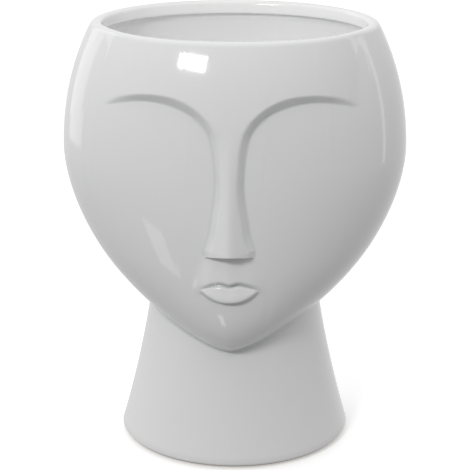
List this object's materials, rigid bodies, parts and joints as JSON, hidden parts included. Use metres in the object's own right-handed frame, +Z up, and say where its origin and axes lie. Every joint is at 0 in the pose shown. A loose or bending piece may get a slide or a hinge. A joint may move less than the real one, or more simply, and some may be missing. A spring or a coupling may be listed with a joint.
{
  "type": "head planter",
  "caption": "Glazed stoneware planter shaped as a stylised head on a flared neck, open at the crown, with a drain plug and foot pads.",
  "frame": {"origin": "on the resting surface under the pads, in the middle of the overall footprint", "axes": "+Z up, from the foot to the rim; the face looks toward -Y; +X toward the viewer's right when facing the face"},
  "size_m": [0.24, 0.194, 0.3],
  "materials": {
    "glaze": "glossy white glaze over stoneware",
    "plug_rubber": "soft matt rubber",
    "pad_rubber": "soft matt rubber"
  },
  "bodies": {
    "pot": {"head_shell": "glaze", "foot_pad_1": "pad_rubber", "foot_pad_2": "pad_rubber", "foot_pad_3": "pad_rubber", "foot_pad_4": "pad_rubber"},
    "plug": {"drain_plug": "plug_rubber"}
  },
  "joints": [
    {"name": "drain_plug_lift", "type": "slide", "parent": "pot", "child": "plug", "axis": [0, 0, 1], "range_m": [0, 0.3]}
  ]
}
